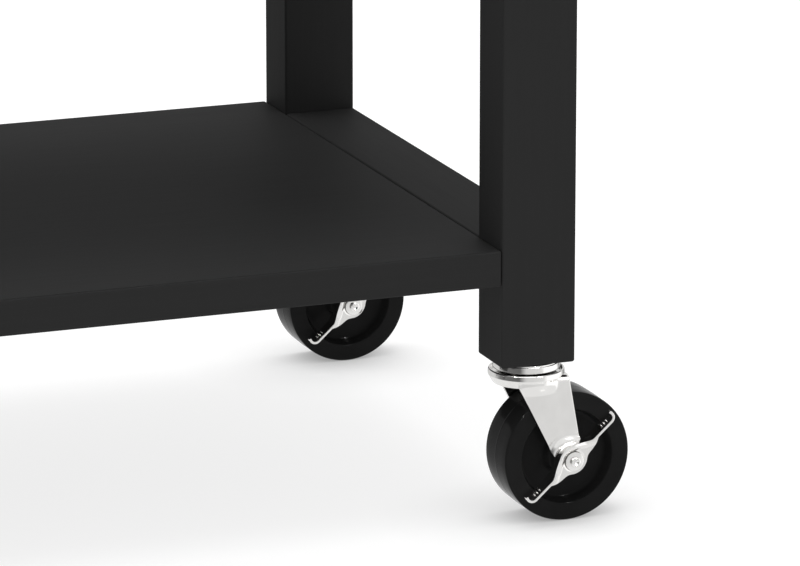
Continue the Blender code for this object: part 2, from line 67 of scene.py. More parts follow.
# Where the pieces go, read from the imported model. A caster's own frame has x trailing from its
# swivel axis, y along its axle with the brake at -y, and z up from the floor.
joint_of = {joint["name"]: joint for joint in frame["joints"]}
RUN = 0.0003  # play between pieces that turn on each other


def measured(node):
    """Lowest corner, highest corner and size of a node of the model."""
    low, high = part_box(node)
    return low, high, high - low


SWIVEL = Vector(joint_of["front_right_swivel"]["pos_m"])
AXLE = Vector(joint_of["front_right_roll"]["pos_m"])
TRAIL = AXLE.x - SWIVEL.x
AXLE_Z = AXLE.z
CASTER_TOP = SWIVEL.z
AXLE_PLACE = Matrix.Translation((TRAIL, 0, AXLE_Z)) @ ALONG_AXLE
WHEEL_RADIUS = AXLE_Z
HUB_FACE = measured("front_right_wheel")[2].y / 2
WHEEL_HALF = HUB_FACE - 0.0003  # the hub stands proud by that much
FORK_LOW, FORK_HIGH, _ = measured("front_right_fork")
FORK_EYE = AXLE_Z - FORK_LOW.z
FORK_FRONT, FORK_BACK = -0.0115, 0.0190  # edges of the fork's bridge
FORK_BEND = 0.0045
FORK_PLAY = 0.0010  # between the wheel and each leg of the fork
CAM_LOW, CAM_HIGH, _ = measured("front_right_brake_cam")
CAM_INNER, CAM_OUTER = AXLE.y - CAM_HIGH.y, AXLE.y - CAM_LOW.y
CAM_RADIUS = (CAM_HIGH.z - CAM_LOW.z) / 2
RIVET_LOW, RIVET_HIGH, _ = measured("front_right_axle_rivet")
RIVET_TIP, RIVET_HEAD = AXLE.y - RIVET_LOW.y, AXLE.y - RIVET_HIGH.y
RACE_LOW, _, RACE_SIZE = measured("front_right_upper_race")
STEM_LOW, STEM_HIGH, STEM_SIZE = measured("front_right_stem")
BALLS_LOW, BALLS_HIGH, BALLS_SIZE = measured("front_right_ball_cage")
BRIDGE_TOP = BALLS_LOW.z - RUN
AXLE_RADIUS, STEM_RADIUS, TENON_RADIUS = 0.0030, 0.0050, 0.0080
PLATE_MIDDLE = CAM_OUTER + RUN + 0.0010  # middle of the brake lever's plate, from the wheel's middle
LEVER_ANGLE = math.radians(42)  # how far the lever leans at rest


# ---- Sizes and colours that a user would change ---------------------------------------------------
def size_prop(name, description, default):
    """A size in metres."""
    return bpy.props.FloatProperty(
        name=name, description=description, default=default, min=0, max=1, subtype="DISTANCE", unit="LENGTH"
    )


def level_prop(name, description, default, low, high):
    """A plain number, such as a brightness."""
    return bpy.props.FloatProperty(name=name, description=description, default=default, min=low, max=high)


def count_prop(name, description, default, low, high):
    return bpy.props.IntProperty(name=name, description=description, default=default, min=low, max=high)


def hex_colour(text):
    """An sRGB hex value as linear red, green, blue and alpha."""
    parts = [int(text[i : i + 2], 16) / 255 for i in (1, 3, 5)]
    return (*[c / 12.92 if c <= 0.04045 else ((c + 0.055) / 1.055) ** 2.4 for c in parts], 1.0)


def colour_prop(name, description, default):
    return bpy.props.FloatVectorProperty(
        name=name, description=description, default=hex_colour(default), size=4, min=0, max=1, subtype="COLOR"
    )


class BarCartWood(bpy.types.PropertyGroup):
    edge: size_prop("Eased edge", "Radius of the sanded edges of legs and boards", 0.0014)
    grain: size_prop("Grain width", "Spacing of the grain that shows through the lacquer", 0.0024)
    peel: size_prop("Orange peel", "Width of the sprayed lacquer's ripples", 0.0030)
    lacquer: colour_prop("Lacquer", "Colour of the satin black lacquer", "#292929")


class BarCartCaster(bpy.types.PropertyGroup):
    sheet: size_prop("Sheet", "Thickness of the pressed steel", 0.0025)
    steel_edge: size_prop("Pressed edge", "Radius of the sheared and pressed edges", 0.0005)
    crown_radius: size_prop("Crown radius", "Outer radius of the fork's crown", 0.0217)
    step_rise: size_prop("Leg step", "How far the fork's braked leg is pressed out at the axle", 0.0022)
    ball_count: count_prop("Balls", "Balls in the swivel bearing", 16, 6, 40)
    ball_radius: size_prop("Ball radius", "Radius of a bearing ball", 0.0021)
    rib_count: count_prop("Pedal ribs", "Ribs on each brake pedal", 3, 0, 8)
    zinc: colour_prop("Zinc plate", "Colour of the bright zinc plate", "#e9e8e6")
    polymer: colour_prop("Wheel", "Colour of the moulded wheel", "#1b1b1b")


class BarCartStage(bpy.types.PropertyGroup):
    floor: colour_prop("Floor", "Colour of the studio floor", "#959595")
    glow: level_prop("Floor glow", "Light from the floor itself, which keeps shadows pale", 0.80, 0, 1)
    power: level_prop("Light", "Power of the overhead light in watts", 122, 0, 5000)
    dim: level_prop("Room behind", "Brightness of the studio behind the cart", 0.74, 0, 2)
    bright: level_prop("Room in front", "Brightness of the studio in front of the cart", 0.56, 0, 2)
    lens: level_prop("Lens", "Focal length of the camera in millimetres", 261.2, 20, 500)


# ---- Mesh helpers ---------------------------------------------------------------------------------
def mesh_from(bm, name):
    data = bpy.data.meshes.new(name)
    bm.to_mesh(data)
    bm.free()
    return data


def new_object(name, data, material=None):
    made = bpy.data.objects.new(name, data)
    bpy.context.scene.collection.objects.link(made)
    if material:
        data.materials.clear()
        data.materials.append(material)
    return made


def evaluated(obj):
    """The object's mesh with its modifiers applied; the object is removed."""
    graph = bpy.context.evaluated_depsgraph_get()
    data = bpy.data.meshes.new_from_object(obj.evaluated_get(graph))
    bpy.data.objects.remove(obj, do_unlink=True)
    return data


def smooth(data, angle=30):
    data.shade_smooth()
    data.set_sharp_from_angle(angle=math.radians(angle))
    return data


def moved(data, matrix):
    data.transform(matrix)
    return data


def tidied(data):
    """Doubles merged, slivers closed up and faces turned outwards."""
    bm = bmesh.new()
    bm.from_mesh(data)
    bmesh.ops.remove_doubles(bm, verts=bm.verts, dist=0.000002)
    bmesh.ops.dissolve_degenerate(bm, edges=bm.edges, dist=0.000003)
    many_sided = [face for face in bm.faces if len(face.verts) > 4]
    bmesh.ops.triangulate(bm, faces=many_sided, ngon_method="BEAUTY")
    bmesh.ops.dissolve_degenerate(bm, edges=bm.edges, dist=0.000003)
    bmesh.ops.recalc_face_normals(bm, faces=bm.faces)
    bm.to_mesh(data)
    bm.free()
    return data


def arc(centre, radius, start, end, count):
    angles = [start + (end - start) * i / (count - 1) for i in range(count)]
    return [(centre[0] + radius * math.cos(a), centre[1] + radius * math.sin(a)) for a in angles]


def filleted(corners, steps=4, closed=True):
    """A profile whose corners, given as (x, y, fillet radius), are rounded with arcs."""
    made = []
    count = len(corners)
    for i, (x, y, radius) in enumerate(corners):
        here = Vector((x, y))
        ends = not closed and i in (0, count - 1)
        before, after = Vector(corners[i - 1][:2]), Vector(corners[(i + 1) % count][:2])
        if ends or radius <= 0:
            made.append((x, y))
            continue
        to_before, to_after = (before - here).normalized(), (after - here).normalized()
        half = to_before.angle(to_after) / 2
        cut = min(radius / math.tan(half), (before - here).length * 0.49, (after - here).length * 0.49)
        start, end = here + to_before * cut, here + to_after * cut
        for k in range(steps + 1):
            t = k / steps
            point = start * (1 - t) ** 2 + here * 2 * t * (1 - t) + end * t**2
            made.append((point.x, point.y))
    return made


def turned(name, profile, steps=64, closed=True):
    """A solid turned about z. A closed profile makes a ring, an open one starts and ends on the axis."""
    bm = bmesh.new()
    rings = []
    for radius, height in profile:
        if radius < 1e-7:
            rings.append([bm.verts.new((0, 0, height))])
            continue
        angles = [2 * math.pi * k / steps for k in range(steps)]
        rings.append([bm.verts.new((radius * math.cos(a), radius * math.sin(a), height)) for a in angles])
    pairs = list(zip(rings, rings[1:]))
    if closed:
        pairs.append((rings[-1], rings[0]))
    for first, second in pairs:
        for k in range(steps):
            after = k + 1
            corners = (
                first[k % len(first)],
                first[after % len(first)],
                second[after % len(second)],
                second[k % len(second)],
            )
            face = list(dict.fromkeys(corners))
            if len(face) > 2:
                bm.faces.new(face)
    bmesh.ops.recalc_face_normals(bm, faces=bm.faces)
    return smooth(mesh_from(bm, name))


def cut(data, tool, operation="DIFFERENCE"):
    """A Boolean between two closed meshes, applied."""
    target, other = new_object("target", data), new_object("tool", tool)
    modifier = target.modifiers.new("Cut", "BOOLEAN")
    modifier.operation = operation
    modifier.object = other
    made = evaluated(target)
    bpy.data.objects.remove(other, do_unlink=True)
    return made


def rod(radius, low, high, steps=32):
    return turned("rod", [(0, high), (radius, high), (radius, low), (0, low)], steps, closed=False)


def weighted(data):
    """Flat faces kept flat next to their rounded edges."""
    obj = new_object("weighted", data)
    obj.modifiers.new("Weighted normals", "WEIGHTED_NORMAL").keep_sharp = True
    return evaluated(obj)


def board(name, low, high, edge, holes=()):
    """A board or post with sanded edges, less the holes' meshes."""
    bm = bmesh.new()
    bmesh.ops.create_cube(bm, size=1.0)
    size, middle = high - low, (low + high) / 2
    bmesh.ops.transform(bm, matrix=Matrix.Translation(middle) @ Matrix.Diagonal((*size, 1.0)), verts=bm.verts)
    bmesh.ops.bevel(
        bm, geom=bm.edges[:], offset=edge, segments=4, profile=0.5, affect="EDGES", clamp_overlap=True
    )
    data = mesh_from(bm, name)
    for hole in holes:
        data = cut(data, hole)
    return weighted(smooth(data, 40))


def at_corners(word, data, body_word, material, node_word=None):
    """Copies a caster piece, modelled in the caster's own frame, to the four corners."""
    for end, side in CORNERS:
        corner = f"{end}_{side}"
        at = Vector(joint_of[corner + "_swivel"]["pos_m"])
        turn = 0 if side == "right" else math.pi
        matrix = Matrix.Translation((at.x, at.y, 0)) @ Matrix.Rotation(turn, 4, "Z")
        piece = new_object(f"{corner}_{word}", moved(data.copy(), matrix), material)
        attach(piece, f"{corner}_{body_word}" if body_word else ROOT)
        if node_word:
            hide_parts(f"{corner}_{node_word}")


# ---- Materials ------------------------------------------------------------------------------------
def add_node(tree, kind, settings=None, **inputs):
    """Adds a node with its settings; an input is a value or an output socket to link from. An input
    that shares its name with others is given by its number, as i0 or i1."""
    node = tree.nodes.new(kind)
    for key, value in (settings or {}).items():
        setattr(node, key, value)
    for key, value in inputs.items():
        numbered = key[0] == "i" and key[1:].isdigit()
        socket = node.inputs[int(key[1:]) if numbered else key.replace("_", " ")]
        if isinstance(value, bpy.types.NodeSocket):
            tree.links.new(value, socket)
        else:
            socket.default_value = value
    return node


def new_material(name, **sockets):
    """A material whose Principled shader has the given plain values. Returns it, its tree and the shader."""
    material = bpy.data.materials.new(name)
    material.use_nodes = True
    tree = material.node_tree
    shader = tree.nodes["Principled BSDF"]
    for key, value in sockets.items():
        shader.inputs[key.replace("_", " ")].default_value = value
    return material, tree, shader


def satin_black_lacquer(wood, along):
    """Sprayed satin nitro lacquer over sanded board: even near-black, faint grain, soft broken gloss.
    Real grain is some 0.4 mm wide. It is drawn several times coarser, so that it shows at all."""
    name = "satin_black_lacquer_" + along
    if name in bpy.data.materials:
        return bpy.data.materials[name]
    material, tree, shader = new_material(name, IOR=1.5, Specular_IOR_Level=0.025)
    coordinates = add_node(tree, "ShaderNodeTexCoord").outputs["Object"]
    across, length = 1 / wood.grain, 1 / 0.090  # pores run some 90 mm along the board
    stretch = [across, across, across]
    stretch["xyz".index(along)] = length
    stretched = add_node(tree, "ShaderNodeMapping", Vector=coordinates, Scale=stretch).outputs["Vector"]
    grain = add_node(tree, "ShaderNodeTexNoise", Vector=stretched, Scale=1.0, Detail=4.0, Roughness=0.6)
    peel = add_node(tree, "ShaderNodeTexNoise", Vector=coordinates, Scale=1 / wood.peel, Detail=2.0)
    cloud = add_node(tree, "ShaderNodeTexNoise", Vector=coordinates, Scale=1 / 0.140, Detail=2.0)
    dark, light = list(wood.lacquer), [c * 1.3 for c in wood.lacquer[:3]] + [1.0]
    tone = add_node(tree, "ShaderNodeMix", Factor=0.5, A=cloud.outputs["Fac"], B=grain.outputs["Fac"])
    ramp = add_node(tree, "ShaderNodeMix", {"data_type": "RGBA"}, Factor=tone.outputs["Result"])
    ramp.inputs[6].default_value, ramp.inputs[7].default_value = dark, light
    tree.links.new(ramp.outputs[2], shader.inputs["Base Color"])
    gloss = add_node(tree, "ShaderNodeMapRange", Value=grain.outputs["Fac"], To_Min=0.56, To_Max=0.70)
    tree.links.new(gloss.outputs["Result"], shader.inputs["Roughness"])
    pores = add_node(tree, "ShaderNodeBump", Height=grain.outputs["Fac"], Strength=0.10, Distance=0.00012)
    ripple = add_node(
        tree, "ShaderNodeBump", Height=peel.outputs["Fac"], Strength=0.12, Distance=0.00010,
        Normal=pores.outputs["Normal"],
    )
    tree.links.new(ripple.outputs["Normal"], shader.inputs["Normal"])
    return material


def bright_zinc_plate(caster):
    """Electroplated zinc on pressed steel: a bright mirror, softened by the sheet's fine pressing marks."""
    name = "bright_zinc_plated_steel"
    if name in bpy.data.materials:
        return bpy.data.materials[name]
    material, tree, shader = new_material(name, Metallic=1.0)
    coordinates = add_node(tree, "ShaderNodeTexCoord").outputs["Object"]
    fine = add_node(tree, "ShaderNodeTexNoise", Vector=coordinates, Scale=1 / 0.0012, Detail=3.0)
    cloud = add_node(tree, "ShaderNodeTexNoise", Vector=coordinates, Scale=1 / 0.009, Detail=3.0)
    ramp = add_node(tree, "ShaderNodeMix", {"data_type": "RGBA"}, Factor=cloud.outputs["Fac"])
    ramp.inputs[6].default_value = [c * 0.88 for c in caster.zinc[:3]] + [1.0]
    ramp.inputs[7].default_value = list(caster.zinc)
    tree.links.new(ramp.outputs[2], shader.inputs["Base Color"])
    gloss = add_node(tree, "ShaderNodeMapRange", Value=cloud.outputs["Fac"], To_Min=0.07, To_Max=0.17)
    tree.links.new(gloss.outputs["Result"], shader.inputs["Roughness"])
    waves = add_node(tree, "ShaderNodeBump", Height=cloud.outputs["Fac"], Strength=0.25, Distance=0.00020)
    marks = add_node(
        tree, "ShaderNodeBump", Height=fine.outputs["Fac"], Strength=0.22, Distance=0.00008,
        Normal=waves.outputs["Normal"],
    )
    tree.links.new(marks.outputs["Normal"], shader.inputs["Normal"])
    return material


def ground_bearing_steel():
    """Hardened chrome steel balls and wire, greased: dark bright metal."""
    name = "greased_bearing_steel"
    if name in bpy.data.materials:
        return bpy.data.materials[name]
    material, tree, shader = new_material(name, Metallic=1.0)
    coordinates = add_node(tree, "ShaderNodeTexCoord").outputs["Object"]
    film = add_node(tree, "ShaderNodeTexNoise", Vector=coordinates, Scale=1 / 0.004, Detail=2.0)
    ramp = add_node(tree, "ShaderNodeMix", {"data_type": "RGBA"}, Factor=film.outputs["Fac"])
    ramp.inputs[6].default_value, ramp.inputs[7].default_value = hex_colour("#6b665c"), hex_colour("#a9a9aa")
    tree.links.new(ramp.outputs[2], shader.inputs["Base Color"])
    gloss = add_node(tree, "ShaderNodeMapRange", Value=film.outputs["Fac"], To_Min=0.08, To_Max=0.35)
    tree.links.new(gloss.outputs["Result"], shader.inputs["Roughness"])
    return material


def moulded_phenolic(caster):
    """Compression-moulded phenolic wheel: deep black, glossy from the mould, with a faint flow pattern."""
    name = "moulded_black_phenolic"
    if name in bpy.data.materials:
        return bpy.data.materials[name]
    material, tree, shader = new_material(name, IOR=1.55, Specular_IOR_Level=0.02)
    coordinates = add_node(tree, "ShaderNodeTexCoord").outputs["Object"]
    flow = add_node(
        tree, "ShaderNodeTexNoise", Vector=coordinates, Scale=1 / 0.012, Detail=4.0, Distortion=0.6
    )
    speck = add_node(tree, "ShaderNodeTexNoise", Vector=coordinates, Scale=1 / 0.0011, Detail=2.0)
    ramp = add_node(tree, "ShaderNodeMix", {"data_type": "RGBA"}, Factor=flow.outputs["Fac"])
    ramp.inputs[6].default_value = list(caster.polymer)
    ramp.inputs[7].default_value = [c * 1.5 for c in caster.polymer[:3]] + [1.0]
    tree.links.new(ramp.outputs[2], shader.inputs["Base Color"])
    gloss = add_node(tree, "ShaderNodeMapRange", Value=flow.outputs["Fac"], To_Min=0.09, To_Max=0.17)
    tree.links.new(gloss.outputs["Result"], shader.inputs["Roughness"])
    skin = add_node(tree, "ShaderNodeBump", Height=speck.outputs["Fac"], Strength=0.06, Distance=0.00005)
    tree.links.new(skin.outputs["Normal"], shader.inputs["Normal"])
    return material


# ---- Geometry Nodes -------------------------------------------------------------------------------
def new_tree(name, sockets):
    """A geometry tree with named inputs, given as name: (type, default). Returns tree, input and output."""
    tree = bpy.data.node_groups.new(name, "GeometryNodeTree")
    tree.interface.new_socket("Geometry", in_out="OUTPUT", socket_type="NodeSocketGeometry")
    for label, (kind, default) in sockets.items():
        socket = tree.interface.new_socket(label, in_out="INPUT", socket_type=kind)
        if default is not None:
            socket.default_value = default
    return tree, add_node(tree, "NodeGroupInput"), add_node(tree, "NodeGroupOutput")


def grown(tree, values):
    """The tree's result as a plain mesh, with its inputs set by their identifiers."""
    obj = new_object(tree.name, bpy.data.meshes.new(tree.name))
    modifier = obj.modifiers.new("Nodes", "NODES")
    modifier.node_group = tree
    for item in tree.interface.items_tree:
        if item.in_out == "INPUT" and item.name in values:
            modifier[item.identifier] = values[item.name]
    return evaluated(obj)


def bearing_tree():
    """Balls on a circle between two retaining wires."""
    tree, inputs, output = new_tree(
        "bearing_balls",
        {
            "Ball count": ("NodeSocketInt", 16),
            "Ball radius": ("NodeSocketFloat", 0.0021),
            "Circle radius": ("NodeSocketFloat", 0.0135),
            "Wire radius": ("NodeSocketFloat", 0.0004),
            "Inner wire": ("NodeSocketFloat", 0.0110),
            "Outer wire": ("NodeSocketFloat", 0.0160),
            "Material": ("NodeSocketMaterial", None),
        },
    )
    given = inputs.outputs
    circle = add_node(
        tree, "GeometryNodeMeshCircle", Vertices=given["Ball count"], Radius=given["Circle radius"]
    )
    ball = add_node(tree, "GeometryNodeMeshIcoSphere", Radius=given["Ball radius"], Subdivisions=3)
    balls = add_node(
        tree, "GeometryNodeInstanceOnPoints", Points=circle.outputs["Mesh"], Instance=ball.outputs["Mesh"]
    )
    section = add_node(tree, "GeometryNodeCurvePrimitiveCircle", Resolution=8, Radius=given["Wire radius"])
    joined = add_node(tree, "GeometryNodeJoinGeometry")
    tree.links.new(balls.outputs["Instances"], joined.inputs["Geometry"])
    for wire in ("Inner wire", "Outer wire"):
        loop = add_node(tree, "GeometryNodeCurvePrimitiveCircle", Resolution=64, Radius=given[wire])
        tube = add_node(
            tree,
            "GeometryNodeCurveToMesh",
            Curve=loop.outputs["Curve"],
            Profile_Curve=section.outputs["Curve"],
        )
        tree.links.new(tube.outputs["Mesh"], joined.inputs["Geometry"])
    real = add_node(tree, "GeometryNodeRealizeInstances", Geometry=joined.outputs["Geometry"])
    shaded = add_node(tree, "GeometryNodeSetShadeSmooth", Geometry=real.outputs["Geometry"])
    painted = add_node(
        tree, "GeometryNodeSetMaterial", Geometry=shaded.outputs["Geometry"], Material=given["Material"]
    )
    tree.links.new(painted.outputs["Geometry"], output.inputs["Geometry"])
    return tree


def pedal_rib_tree():
    """Raised ribs in a row on each of the lever's two pedals."""
    tree, inputs, output = new_tree(
        "pedal_ribs",
        {
            "Rib count": ("NodeSocketInt", 3),
            "Right start": ("NodeSocketVector", None),
            "Left start": ("NodeSocketVector", None),
            "Spacing": ("NodeSocketVector", None),
            "Rib size": ("NodeSocketVector", None),
            "Material": ("NodeSocketMaterial", None),
        },
    )
    given = inputs.outputs
    rib = add_node(tree, "GeometryNodeMeshUVSphere", Segments=16, Rings=10, Radius=1.0)
    joined = add_node(tree, "GeometryNodeJoinGeometry")
    for start in ("Right start", "Left start"):
        line = add_node(
            tree,
            "GeometryNodeMeshLine",
            Count=given["Rib count"],
            Start_Location=given[start],
            Offset=given["Spacing"],
        )
        tree.links.new(line.outputs["Mesh"], joined.inputs["Geometry"])
    ribs = add_node(
        tree,
        "GeometryNodeInstanceOnPoints",
        Points=joined.outputs["Geometry"],
        Instance=rib.outputs["Mesh"],
        Scale=given["Rib size"],
    )
    real = add_node(tree, "GeometryNodeRealizeInstances", Geometry=ribs.outputs["Instances"])
    shaded = add_node(tree, "GeometryNodeSetShadeSmooth", Geometry=real.outputs["Geometry"])
    painted = add_node(
        tree, "GeometryNodeSetMaterial", Geometry=shaded.outputs["Geometry"], Material=given["Material"]
    )
    tree.links.new(painted.outputs["Geometry"], output.inputs["Geometry"])
    return tree


# ---- Wooden frame ---------------------------------------------------------------------------------
def wooden(node, along, wood, holes=()):
    """A board or leg in place of its node, with the holes that other pieces need."""
    low, high, _ = measured(node)
    data = board(node + "_finished", low, high, wood.edge, holes)
    piece = new_object(node + "_finished", data, satin_black_lacquer(wood, along))
    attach(piece, ROOT)
    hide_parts(node)
    return piece


class BARCART_OT_legs(bpy.types.Operator):
    """Four square-edged legs with bores for the caster stems and the push bars"""

    bl_idname = "barcart.legs"
    bl_label = "Legs"

    def execute(self, context):
        wood = context.scene.bar_cart_wood
        for end, side in CORNERS:
            corner = f"{end}_{side}"
            low, high, _ = measured(corner + "_leg")
            _, _, insert_size = measured(corner + "_leg_insert")
            _, stem_high, _ = measured(corner + "_stem")
            bar_low, bar_high, _ = measured(side + "_push_bar")
            x, y = (low.x + high.x) / 2, (low.y + high.y) / 2
            bore = rod(insert_size.x / 2 + RUN, low.z - 0.005, stem_high.z + 0.004)
            inwards = high.y if end == "front" else low.y
            tenon_tip = bar_low.y if end == "front" else bar_high.y
            mortise = rod(TENON_RADIUS + RUN, -abs(tenon_tip - inwards) - RUN, abs(tenon_tip - inwards) + RUN)
            bar_z = (bar_low.z + bar_high.z) / 2
            holes = [
                moved(bore, Matrix.Translation((x, y, 0))),
                moved(mortise, Matrix.Translation((x, inwards, bar_z)) @ ALONG_AXLE),
            ]
            wooden(corner + "_leg", "z", wood, holes)
        return {"FINISHED"}


class BARCART_OT_boards(bpy.types.Operator):
    """Serving board, aprons and both shelves with their side rails"""

    bl_idname = "barcart.boards"
    bl_label = "Boards"

    def execute(self, context):
        wood = context.scene.bar_cart_wood
        for node in ("serving_board", "front_apron", "rear_apron", "middle_shelf_panel", "lower_shelf_panel"):
            wooden(node, "x", wood)
        rails = [f"{level}_shelf_{side}_rail" for level in ("middle", "lower") for side in ("left", "right")]
        for node in ["left_apron", "right_apron", *rails]:
            wooden(node, "y", wood)
        return {"FINISHED"}


class BARCART_OT_push_bars(bpy.types.Operator):
    """Turned bars between the legs of each end, with tenons in the legs"""

    bl_idname = "barcart.push_bars"
    bl_label = "Push bars"

    def execute(self, context):
        wood = context.scene.bar_cart_wood
        for side in ("left", "right"):
            node = side + "_push_bar"
            low, high, size = measured(node)
            radius, tip = size.x / 2, size.y / 2
            _, leg_inner, _ = measured("front_" + side + "_leg")
            half = -leg_inner.y - RUN
            side_of = [
                (0, tip, 0),
                (TENON_RADIUS, tip, 0.0008),
                (TENON_RADIUS, half, 0),
                (radius, half, 0.0015),
            ]
            profile = filleted(side_of + [(r, -y, e) for r, y, e in reversed(side_of)], 3, closed=False)
            data = turned(node + "_finished", profile, 64, closed=False)
            middle = (low + high) / 2
            data = moved(data, Matrix.Translation(middle) @ ALONG_AXLE)
            piece = new_object(node + "_finished", data, satin_black_lacquer(wood, "y"))
            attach(piece, ROOT)
            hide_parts(node)
        return {"FINISHED"}


# ---- Casters --------------------------------------------------------------------------------------
def smoothstep(value, low, high):
    share = min(max((value - low) / (high - low), 0.0), 1.0)
    return share * share * (3 - 2 * share)


def grid(name, rows):
    """An open sheet through rows of points."""
    bm = bmesh.new()
    made = [[bm.verts.new(point) for point in row] for row in rows]
    for first, second in zip(made, made[1:]):
        for k in range(len(first) - 1):
            bm.faces.new((first[k], first[k + 1], second[k + 1], second[k]))
    return mesh_from(bm, name)


def pressed(data, thickness, edge):
    """Gives a sheet its thickness and rounds its sheared edges."""
    obj = new_object("pressed", data)
    solid = obj.modifiers.new("Sheet", "SOLIDIFY")
    solid.thickness = thickness
    solid.offset = 0
    solid.use_even_offset = True
    bevel = obj.modifiers.new("Sheared edge", "BEVEL")
    bevel.width = edge
    bevel.segments = 2
    bevel.limit_method = "ANGLE"
    bevel.angle_limit = math.radians(50)
    return tidied(evaluated(obj))


def leg_edges(z):
    """Front and back edge of a fork leg at a height: straight flanks that run into a round eye."""
    shoulder_z = BRIDGE_TOP - FORK_BEND
    edges = []
    for shoulder_x, turn in ((FORK_FRONT, 1), (FORK_BACK, -1)):
        away = Vector((shoulder_x - TRAIL, shoulder_z - AXLE_Z))
        angle = math.atan2(away.y, away.x) + turn * math.acos(FORK_EYE / away.length)
        touch_x, touch_z = TRAIL + FORK_EYE * math.cos(angle), AXLE_Z + FORK_EYE * math.sin(angle)
        if z < touch_z:
            edges.append(TRAIL - turn * math.sqrt(max(FORK_EYE**2 - (z - AXLE_Z) ** 2, 0)))
        else:
            share = min((z - touch_z) / (shoulder_z - touch_z), 1)
            edges.append(touch_x + (shoulder_x - touch_x) * share)
    return edges


def fork_sheet(caster):
    """Middle surface of the fork's U, from foot to foot. The legs flare out to meet the crown's round rim,
    and the braked leg is pressed outwards round the axle."""
    middle = WHEEL_HALF + FORK_PLAY + caster.sheet / 2
    rim = caster.crown_radius - 0.0001 - caster.sheet / 2
    bend = FORK_BEND - caster.sheet / 2
    shoulder_z = BRIDGE_TOP - FORK_BEND
    foot = [AXLE_Z + FORK_EYE * math.sin(math.radians(a)) for a in range(-80, 1, 8)]
    steps = 36
    straight = [AXLE_Z + (shoulder_z - AXLE_Z) * (i + 1) / steps for i in range(steps)]
    leg = [(middle, z) for z in foot + straight]
    half = leg + arc((middle - bend, shoulder_z), bend, 0, math.pi / 2, 9)[1:]
    half += [(half[-1][0] * (1 - i / 8), half[-1][1]) for i in range(1, 9)]
    rows = []
    for outward, path in ((-1, half), (1, half[-2::-1])):
        for reach, z in path:
            front, back = leg_edges(z)
            rise = smoothstep(z, shoulder_z - 0.0055, BRIDGE_TOP - 0.0016)
            rise *= min(reach / (middle - bend), 1)
            row = []
            for k in range(33):
                x = front + (back - front) * k / 32
                beyond = math.sqrt(max(rim**2 - x**2, 0)) - middle
                flare = rise * (beyond + math.hypot(beyond, 0.0006)) / 2
                step = 1 - smoothstep(math.hypot(x - TRAIL, z - AXLE_Z), 0.0095, 0.0132)
                push = caster.step_rise * step if outward < 0 else 0
                row.append((x, outward * (reach + flare + push), z))
            rows.append(row)
    return grid("fork", rows)


def fork_crown(caster):
    """Crown of the fork: raceway floor, raised rim and a skirt that runs into the legs."""
    radius, floor, under = caster.crown_radius, BRIDGE_TOP + 0.0001, BRIDGE_TOP - 0.0022
    corners = [
        (0, floor, 0),
        (radius - 0.0020, floor, 0.0008),
        (radius - 0.0014, FORK_HIGH.z, 0.0005),
        (radius - 0.0003, FORK_HIGH.z - 0.0001, 0.0008),
        (radius, under + 0.0012, 0.0016),
        (radius - 0.0019, under - 0.0022, 0.0020),
        (radius - 0.0026, under - 0.0034, 0.0006),
        (radius - 0.0044, under - 0.0034, 0.0004),
        (radius - 0.0040, under - 0.0006, 0.0008),
        (0, under, 0),
    ]
    return turned("crown", filleted(corners, 5, closed=False), 128, closed=False)


def fork_shape(caster):
    data = cut(pressed(fork_sheet(caster), caster.sheet, caster.steel_edge), fork_crown(caster), "UNION")
    data = cut(data, rod(STEM_RADIUS + RUN, AXLE_Z, CASTER_TOP, 48))
    axle = rod(AXLE_RADIUS + RUN, -2 * WHEEL_HALF, 2 * WHEEL_HALF, 48)
    return smooth(tidied(cut(data, moved(axle, AXLE_PLACE))), 32)


def wheel_shape():
    """One-piece moulded wheel: parting line, rounded shoulders, dished faces and plain hub."""
    half, bore = WHEEL_HALF, AXLE_RADIUS + 0.0013 + 2 * RUN
    web = half - 0.0080
    corners = [
        (WHEEL_RADIUS, 0.0001, 0),
        (WHEEL_RADIUS - 0.00005, 0.0003, 0),
        (WHEEL_RADIUS - 0.00006, 0.0008, 0),
        (WHEEL_RADIUS - 0.00012, half * 0.5, 0),
        (WHEEL_RADIUS - 0.00020, half, 0.0013),
        (WHEEL_RADIUS - 0.0102, half, 0.0009),
        (WHEEL_RADIUS - 0.0121, web, 0.0024),
        (0.0122, web + 0.0006, 0.0020),
        (0.0110, HUB_FACE, 0.0008),
        (bore + 0.0005, HUB_FACE, 0),
        (bore, HUB_FACE - 0.0005, 0),
    ]
    side = filleted(corners, 5, closed=False)
    return turned("wheel", side + [(r, -y) for r, y in reversed(side)], 144)


def race_shape():
    """Pressed cup over the balls: flat top, conical wall and a turned lip."""
    top, wall, lip, sheet = CASTER_TOP - RUN, RACE_SIZE.x / 2, RACE_LOW.z + 0.0013, 0.0018
    corners = [
        (wall - 0.0010, top, 0.0006),
        (wall - 0.0010, top - 0.0008, 0.0003),
        (wall - 0.0006, top - 0.0010, 0.0006),
        (wall, lip + 0.0010, 0.0008),
        (wall, lip, 0.0003),
        (wall - sheet, lip, 0.0003),
        (wall - 0.0040, top - sheet, 0.0008),
        (STEM_RADIUS + RUN, top - sheet, 0),
        (STEM_RADIUS + RUN, top, 0),
    ]
    return turned("race", filleted(corners, 5), 128)


def stem_shape():
    """Stem with a chamfered tip and a riveted head under the fork's bridge."""
    radius, head = STEM_RADIUS, STEM_SIZE.x / 2
    tip, low, head_top = STEM_HIGH.z, STEM_LOW.z, STEM_LOW.z + 0.0024
    corners = [
        (0, tip, 0),
        (radius - 0.0010, tip, 0),
        (radius, tip - 0.0010, 0),
        (radius, head_top, 0),
        (head, head_top, 0.0003),
        (head * 0.86, low + 0.0003, 0.0008),
        (0, low, 0),
    ]
    return turned("stem", filleted(corners, 4, closed=False), 48, closed=False)


